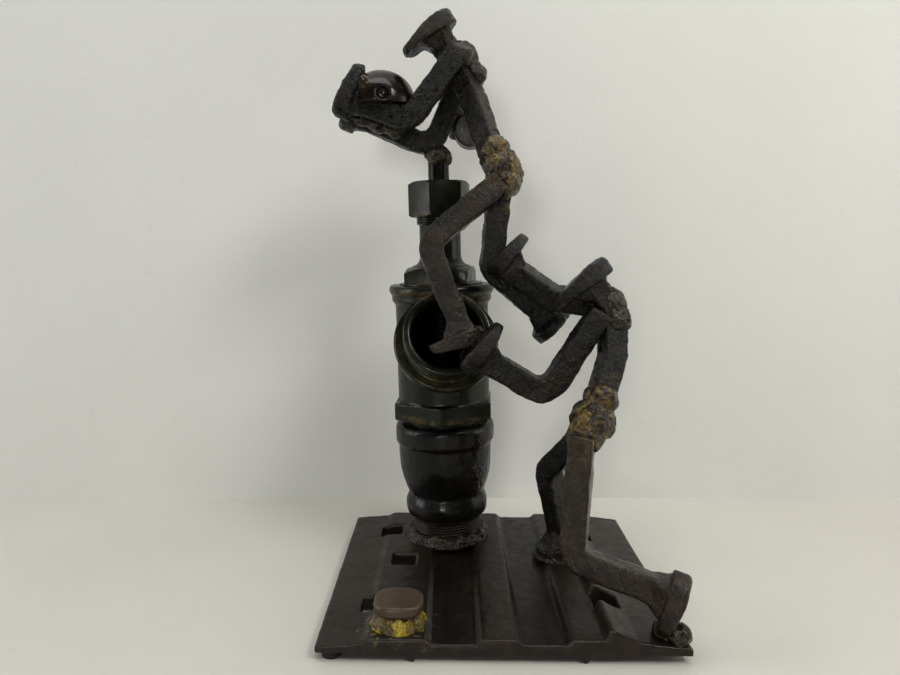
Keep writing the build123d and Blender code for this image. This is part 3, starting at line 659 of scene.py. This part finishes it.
WALL_Y = 0.1645
WALL_TURN = 0.026
ROOM = 3
FLOOR = painted("pale_floor", (0.64, 0.622, 0.575), (0.605, 0.587, 0.54), 0.55)
WALL = painted("pale_wall", (0.72, 0.725, 0.695), (0.69, 0.695, 0.665), 0.8)
FLOOR_BACK = WALL_Y + 0.2
sheet("floor", [(-ROOM, -ROOM, 0), (ROOM, -ROOM, 0), (ROOM, FLOOR_BACK, 0), (-ROOM, FLOOR_BACK, 0)], FLOOR)
one_sided(WALL)
WALL_ENDS = ((-ROOM, WALL_Y - ROOM * WALL_TURN), (ROOM, WALL_Y + ROOM * WALL_TURN))
sheet("wall", [(*WALL_ENDS[0], 0), (*WALL_ENDS[1], 0), (*WALL_ENDS[1], ROOM), (*WALL_ENDS[0], ROOM)], WALL)


def softbox(name, position, target, size, power, color=(1, 1, 1)):
    light = bpy.data.lights.new(name, "AREA")
    light.shape = "RECTANGLE"
    light.size, light.size_y = size
    light.energy = power
    light.color = color
    obj = bpy.data.objects.new(name, light)
    obj.location = position
    aim = Vector(target) - Vector(position)
    obj.rotation_euler = aim.to_track_quat("-Z", "Y").to_euler()
    scene.collection.objects.link(obj)


softbox("key", (0.75, -0.75, 1.25), (0, 0.05, 0.2), (0.45, 0.45), 9.5, (1.0, 0.985, 0.96))
softbox("overhead", (-0.1, -0.15, 1.7), (0, 0, 0.1), (1.4, 0.8), 11)
softbox("left_fill", (-1.5, -0.1, 0.5), (0, 0.1, 0.2), (0.8, 1.0), 9.5, (0.97, 0.99, 1.0))
softbox("right_fill", (1.5, -0.1, 0.5), (0, 0.1, 0.2), (0.8, 1.0), 6, (1.0, 1.0, 0.98))
softbox("front_fill", (-0.5, -2.4, 0.5), (0, 0.16, 0.15), (0.5, 0.5), 13, (1.0, 1.0, 0.98))

world = bpy.data.worlds.new("room")
world.use_nodes = True
sky = world.node_tree
background = sky.nodes["Background"]
background.inputs["Color"].default_value = (0.80, 0.82, 0.80, 1)
background.inputs["Strength"].default_value = 0.16
backdrop = sky.nodes.new("ShaderNodeBackground")
backdrop.inputs["Color"].default_value = (0.60, 0.60, 0.56, 1)
choose = sky.nodes.new("ShaderNodeMixShader")
sky.links.new(sky.nodes.new("ShaderNodeLightPath").outputs["Is Camera Ray"], choose.inputs[0])
sky.links.new(background.outputs[0], choose.inputs[1])
sky.links.new(backdrop.outputs[0], choose.inputs[2])
sky_output = next(node for node in sky.nodes if node.type == "OUTPUT_WORLD")
sky.links.new(choose.outputs[0], sky_output.inputs["Surface"])
scene.world = world
scene.view_settings.view_transform = "Standard"
scene.view_settings.gamma = 0.82

PITCH = 0.1368  # radians below level
ROLL = 0.0098
CAMERA_PLACE = (-0.03224, -0.45938, 0.24153)
camera_data = bpy.data.cameras.new("camera")
camera_data.lens = 27.04
camera_data.sensor_width = 36.0
camera_data.clip_start = 0.01
camera = bpy.data.objects.new("camera", camera_data)
forward = Vector((0, math.cos(PITCH), -math.sin(PITCH)))
level = Vector((0, math.sin(PITCH), math.cos(PITCH)))
right = Vector((math.cos(ROLL), 0, 0)) + math.sin(ROLL) * level
upward = Vector((-math.sin(ROLL), 0, 0)) + math.cos(ROLL) * level
turn = Matrix((right, upward, -forward)).transposed()
camera.matrix_world = Matrix.Translation(CAMERA_PLACE) @ turn.to_4x4()
scene.collection.objects.link(camera)
scene.camera = camera

bpy.context.view_layer.update()
